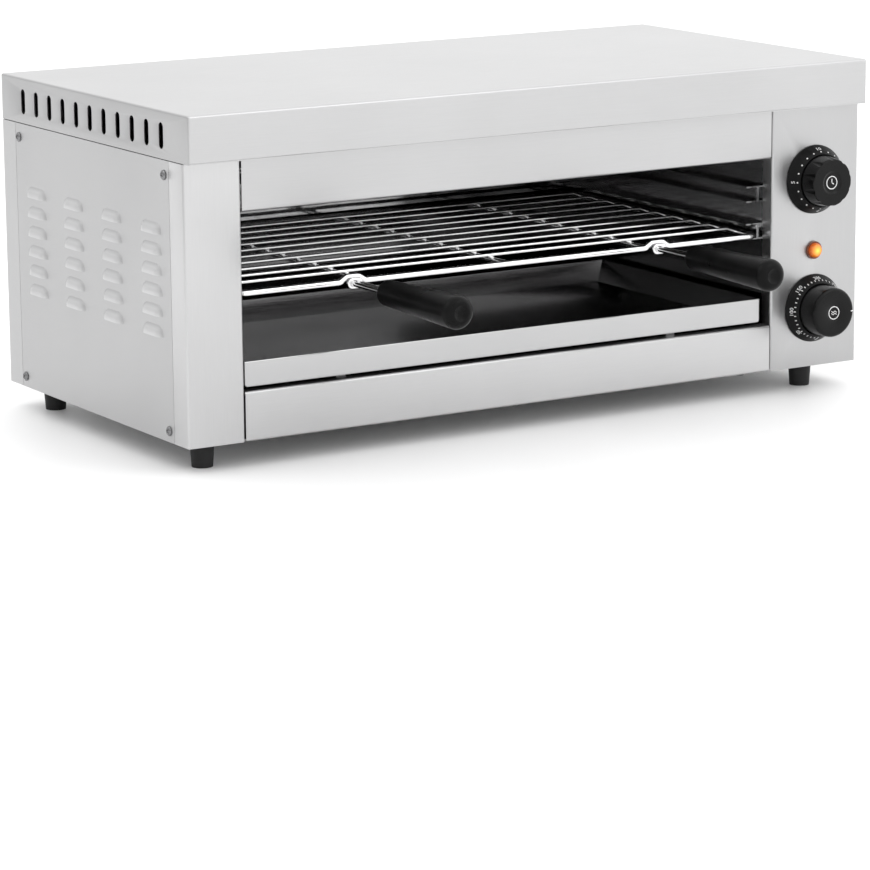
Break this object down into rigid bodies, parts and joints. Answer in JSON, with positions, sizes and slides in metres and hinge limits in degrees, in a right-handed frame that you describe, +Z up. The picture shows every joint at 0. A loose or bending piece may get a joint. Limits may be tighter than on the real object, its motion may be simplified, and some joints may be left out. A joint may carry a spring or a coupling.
{
  "type": "commercial toaster",
  "caption": "Stainless steel counter toaster with a wide open chamber, a sliding wire rack with two black grips, a drip tray, a timer, a thermostat and a pilot light.",
  "frame": {"origin": "middle of the bounding box at the bottom, level with the undersides of the feet", "axes": "+X to the right seen from the front, +Y from the front to the back, +Z up"},
  "size_m": [0.616, 0.46, 0.266],
  "materials": {
    "shell_steel": "bright brushed stainless sheet",
    "panel_steel": "brushed stainless sheet of the side and back panels",
    "chamber_steel": "darker reflective stainless of the chamber",
    "tray_steel": "bright stainless tray",
    "rail_steel": "stainless channel rails",
    "rack_chrome": "bright plated wire",
    "grip_black": "black phenolic grip with a soft sheen",
    "knob_black": "black moulded knob",
    "dial_black": "black dial ring with white marks",
    "lamp_lens": "amber domed lens",
    "lamp_body": "dark lamp rim and barrel",
    "rubber_black": "black rubber foot",
    "screw_steel": "plated pan head screw",
    "element_steel": "dark oxidised element sheath",
    "ceramic": "pale ceramic",
    "housing": "dark moulded housing",
    "copper": "thin copper tube and bulb",
    "brass": "brass stud",
    "gland_black": "black nylon gland"
  },
  "bodies": {
    "cabinet": {"top_cover": "shell_steel", "left_post": "shell_steel", "control_panel": "shell_steel", "top_fascia": "shell_steel", "bottom_rail": "shell_steel", "side_panel_left": "panel_steel", "side_panel_right": "panel_steel", "back_panel": "panel_steel", "base_plate": "panel_steel", "chamber_wall_left": "chamber_steel", "chamber_wall_right": "chamber_steel", "chamber_back": "chamber_steel", "reflector": "chamber_steel", "chamber_floor": "chamber_steel", "rail_left_upper": "rail_steel", "rail_left_middle": "rail_steel", "rail_left_lower": "rail_steel", "rail_right_upper": "rail_steel", "rail_right_middle": "rail_steel", "rail_right_lower": "rail_steel", "element_front": "element_steel", "element_rear": "element_steel", "element_bushes": "ceramic", "element_brackets": "chamber_steel", "thermostat_bulb": "copper", "bulb_clips": "rail_steel", "capillary": "copper", "thermostat_body": "housing", "thermostat_dial": "dial_black", "timer_body": "housing", "timer_dial": "dial_black", "pilot_body": "lamp_body", "pilot_lens": "lamp_lens", "terminal_block": "ceramic", "cable_gland": "gland_black", "gland_nut": "gland_black", "earth_stud": "brass", "foot_front_left": "rubber_black", "foot_front_right": "rubber_black", "foot_back_left": "rubber_black", "foot_back_right": "rubber_black", "foot_screws": "screw_steel", "side_screws_left": "screw_steel", "side_screws_right": "screw_steel", "base_screws": "screw_steel", "back_screws": "screw_steel"},
    "rack": {"rack_frame": "rack_chrome", "rack_wires": "rack_chrome", "rack_cross_wires": "rack_chrome", "handle_stem_left": "rack_chrome", "handle_stem_right": "rack_chrome", "grip_left": "grip_black", "grip_right": "grip_black"},
    "tray": {"drip_tray": "tray_steel"},
    "timer_knob_body": {"timer_knob": "knob_black", "timer_shaft": "rail_steel"},
    "thermostat_knob_body": {"thermostat_knob": "knob_black", "thermostat_shaft": "rail_steel"}
  },
  "joints": [
    {"name": "rack_slide", "type": "slide", "parent": "cabinet", "child": "rack", "axis": [0, -1, 0], "range_m": [0, 0.18]},
    {"name": "tray_slide", "type": "slide", "parent": "cabinet", "child": "tray", "axis": [0, -1, 0], "range_m": [0, 0.15]},
    {"name": "timer_turn", "type": "hinge", "parent": "cabinet", "child": "timer_knob_body", "pos_m": [0.262, -0.0916, 0.1717], "axis": [0, 1, 0], "range_deg": [0, 270]},
    {"name": "thermostat_turn", "type": "hinge", "parent": "cabinet", "child": "thermostat_knob_body", "pos_m": [0.262, -0.0916, 0.0675], "axis": [0, 1, 0], "range_deg": [-270, 0]}
  ]
}
